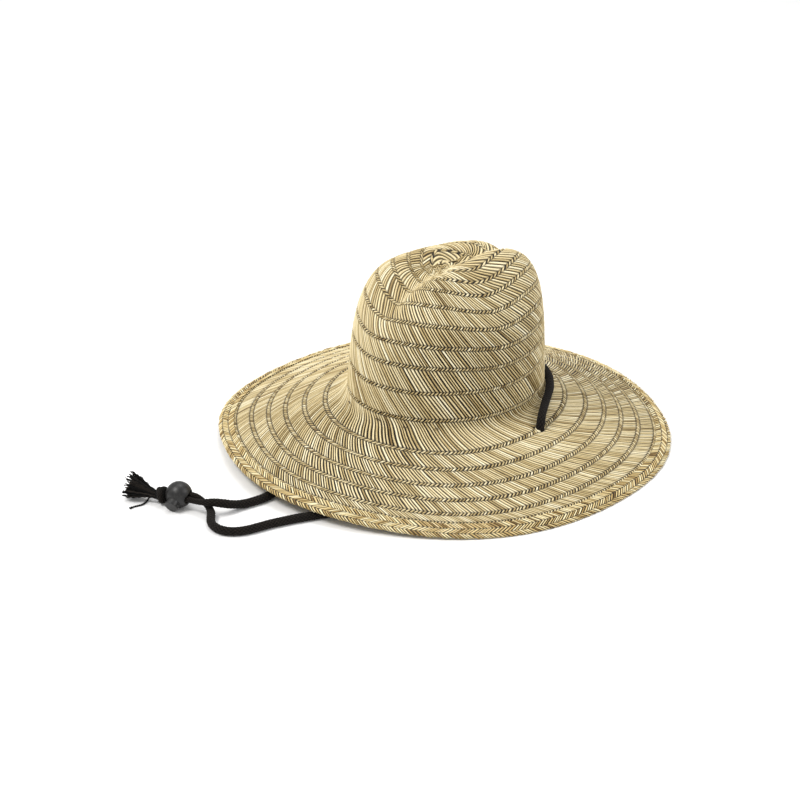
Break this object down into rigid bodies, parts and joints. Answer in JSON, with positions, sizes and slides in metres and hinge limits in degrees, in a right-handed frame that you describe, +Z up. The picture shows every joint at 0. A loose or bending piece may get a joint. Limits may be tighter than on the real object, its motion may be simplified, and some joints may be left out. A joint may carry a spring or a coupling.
{
  "type": "woven straw sun hat with chin cord",
  "caption": "Wide-brimmed woven straw sun hat with a creased and pinched crown, a sloping brim, a plaited rim, a sweatband and a braided chin cord with a ball cord lock",
  "frame": {"origin": "on the surface the rim stands on, under the middle of the hat's outline with the free cord left out", "axes": "+Z up through the crown, front of the hat towards -Y, the wearer's left towards +X"},
  "size_m": [0.436, 0.5609, 0.1908],
  "materials": {
    "straw": "natural woven rush straw, pale cream to tan, satin",
    "plaited_straw": "natural plaited straw border, a little more golden",
    "cotton": "plain cotton tape, matte",
    "thread": "sewing thread, matte",
    "cord": "near-black braided cord, matte",
    "lock_plastic": "charcoal moulded plastic, lightly dusted",
    "spring_steel": "drawn steel wire"
  },
  "bodies": {
    "hat": {"crown": "straw", "brim": "straw", "rim_braid": "plaited_straw", "sweatband": "cotton", "sweatband_thread": "thread", "chin_cord_back": "cord", "chin_cord_left": "cord", "chin_cord_right": "cord", "cord_knot": "cord", "cord_tassel": "cord"},
    "lock": {"lock_body": "lock_plastic", "lock_spring": "spring_steel"},
    "plunger": {"lock_plunger": "lock_plastic"}
  },
  "joints": [
    {"name": "lock_slide", "type": "slide", "parent": "hat", "child": "lock", "axis": [0.9135, 0.4067, 0], "range_m": [0, 0.005]},
    {"name": "plunger_press", "type": "slide", "parent": "lock", "child": "plunger", "axis": [-0.3744, 0.8409, 0.3907], "range_m": [0, 0.0022], "stiffness_N_per_m": 800, "springref_m": -0.002, "deforming": ["lock_spring"]}
  ]
}
